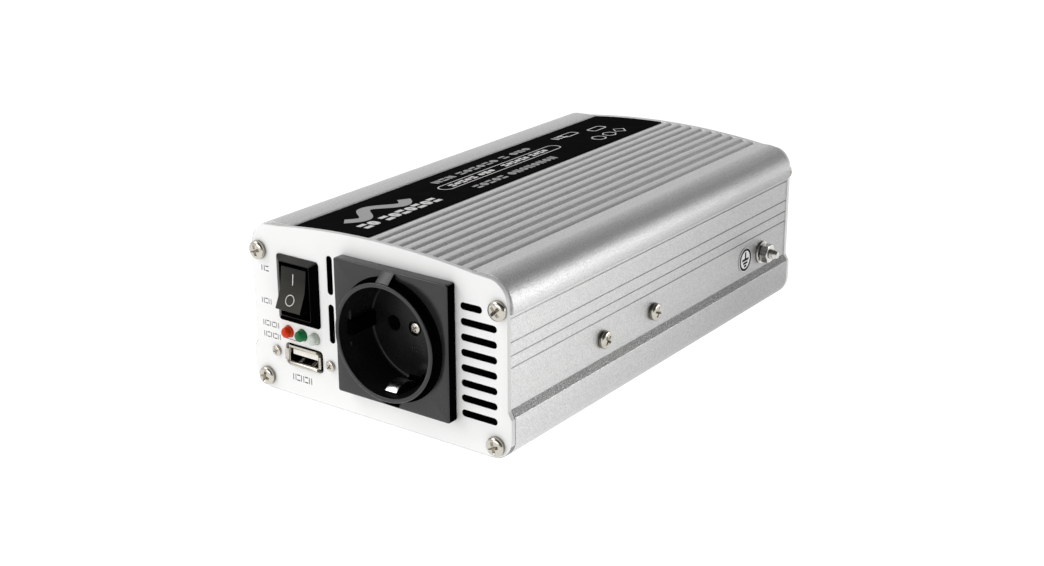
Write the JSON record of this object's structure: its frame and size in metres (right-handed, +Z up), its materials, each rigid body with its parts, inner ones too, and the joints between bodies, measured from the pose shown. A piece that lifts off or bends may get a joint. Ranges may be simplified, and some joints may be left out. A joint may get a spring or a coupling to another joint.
{
  "type": "power inverter",
  "caption": "Ribbed aluminium power inverter with an earthed mains socket, rocker switch, USB port and lamps in front, a fan and screw terminals behind.",
  "frame": {"origin": "centre of the flat underside", "axes": "+Y along the case's length from the front panel to the rear panel, +Z up, +X to the side with the earth stud"},
  "size_m": [0.124, 0.2315, 0.0674],
  "materials": {
    "case_aluminium": "bead-blasted and clear anodised, fine sparkling grain",
    "panel_paint": "smooth satin white powder coat",
    "label_black": "black printed film, satin",
    "label_white": "white film with a black ring and earth symbol",
    "screw_nickel": "nickel-plated steel, warm reflections",
    "socket_plastic": "black moulded plastic, satin",
    "inner_plastic": "black moulded plastic",
    "switch_plastic": "black moulded nylon, semi-gloss",
    "rocker_plastic": "dark moulded nylon with white on and off symbols",
    "brass": "turned brass",
    "spring_steel": "nickel-plated spring strip",
    "usb_steel": "tin-plated shell",
    "usb_tongue": "white moulded insulator",
    "board_laminate": "green solder mask on glass laminate",
    "led_red": "tinted red lens",
    "led_green": "tinted green lens",
    "led_clear": "cloudy clear lens",
    "ferrite": "dull dark ferrite",
    "winding": "yellow polyester tape over copper",
    "capacitor_sleeve": "dark blue shrink sleeve",
    "bar_aluminium": "plain sawn bar",
    "transistor_epoxy": "moulded epoxy on a tinned tab",
    "earth_steel": "zinc-plated steel",
    "fan_plastic": "black moulded plastic",
    "terminal_plastic": "black moulded plastic",
    "knob_red": "red moulded grip",
    "knob_black": "black moulded grip"
  },
  "bodies": {
    "case": {"upper_case": "case_aluminium", "base_tray": "case_aluminium", "front_panel": "panel_paint", "rear_panel": "panel_paint", "label_plate": "label_black", "earth_symbol_label": "label_white", "front_screw_upper_left": "screw_nickel", "front_screw_upper_right": "screw_nickel", "front_screw_lower_left": "screw_nickel", "front_screw_lower_right": "screw_nickel", "rear_screw_upper_left": "screw_nickel", "rear_screw_upper_right": "screw_nickel", "rear_screw_lower_left": "screw_nickel", "rear_screw_lower_right": "screw_nickel", "side_screw_left_front": "screw_nickel", "side_screw_left_rear": "screw_nickel", "side_screw_right_front": "screw_nickel", "side_screw_right_rear": "screw_nickel", "usb_screw_left": "screw_nickel", "usb_screw_right": "screw_nickel", "socket_center_screw": "screw_nickel", "socket_cover": "socket_plastic", "socket_rear_housing": "inner_plastic", "switch_housing": "switch_plastic", "switch_blade_upper": "brass", "switch_blade_lower": "brass", "socket_contact_left": "brass", "socket_contact_right": "brass", "terminal_post_positive": "brass", "terminal_post_negative": "brass", "socket_earth_clip": "spring_steel", "usb_shell": "usb_steel", "usb_tongue": "usb_tongue", "usb_board": "board_laminate", "main_board": "board_laminate", "led_red": "led_red", "led_green": "led_green", "led_clear": "led_clear", "transformer_core": "ferrite", "transformer_winding": "winding", "input_capacitor_left": "capacitor_sleeve", "input_capacitor_right": "capacitor_sleeve", "bus_capacitor": "capacitor_sleeve", "clamp_bar_left": "bar_aluminium", "clamp_bar_right": "bar_aluminium", "transistor_left_front": "transistor_epoxy", "transistor_left_rear": "transistor_epoxy", "transistor_right_front": "transistor_epoxy", "transistor_right_rear": "transistor_epoxy", "earth_stud": "earth_steel", "earth_washer": "earth_steel", "earth_nut": "earth_steel", "fan_frame": "fan_plastic", "terminal_block": "terminal_plastic"},
    "switch_rocker": {"switch_rocker": "rocker_plastic"},
    "fan_rotor": {"fan_rotor": "fan_plastic"},
    "washer_positive": {"terminal_washer_positive": "brass"},
    "knob_positive": {"terminal_knob_positive": "knob_red"},
    "washer_negative": {"terminal_washer_negative": "brass"},
    "knob_negative": {"terminal_knob_negative": "knob_black"}
  },
  "joints": [
    {"name": "switch_rocker_tilt", "type": "hinge", "parent": "case", "child": "switch_rocker", "pos_m": [-0.0352, -0.0984, 0.0417], "axis": [1, 0, 0], "range_deg": [0, 31]},
    {"name": "fan_spin", "type": "hinge", "parent": "case", "child": "fan_rotor", "pos_m": [0.022, 0.09, 0.034], "axis": [0, 1, 0], "continuous": true},
    {"name": "positive_washer_lift", "type": "slide", "parent": "case", "child": "washer_positive", "axis": [0, 1, 0], "range_m": [0, 0.0041]},
    {"name": "positive_knob_turn", "type": "hinge", "parent": "washer_positive", "child": "knob_positive", "pos_m": [-0.018, 0.11, 0.035], "axis": [0, 1, 0], "range_deg": [0, 1440]},
    {"name": "negative_washer_lift", "type": "slide", "parent": "case", "child": "washer_negative", "axis": [0, 1, 0], "range_m": [0, 0.0041]},
    {"name": "negative_knob_turn", "type": "hinge", "parent": "washer_negative", "child": "knob_negative", "pos_m": [-0.042, 0.11, 0.035], "axis": [0, 1, 0], "range_deg": [0, 1440]}
  ],
  "couplings": [
    {"joint": "positive_washer_lift", "follows": "positive_knob_turn", "m_per_rad": 0.00015915},
    {"joint": "negative_washer_lift", "follows": "negative_knob_turn", "m_per_rad": 0.00015915}
  ]
}
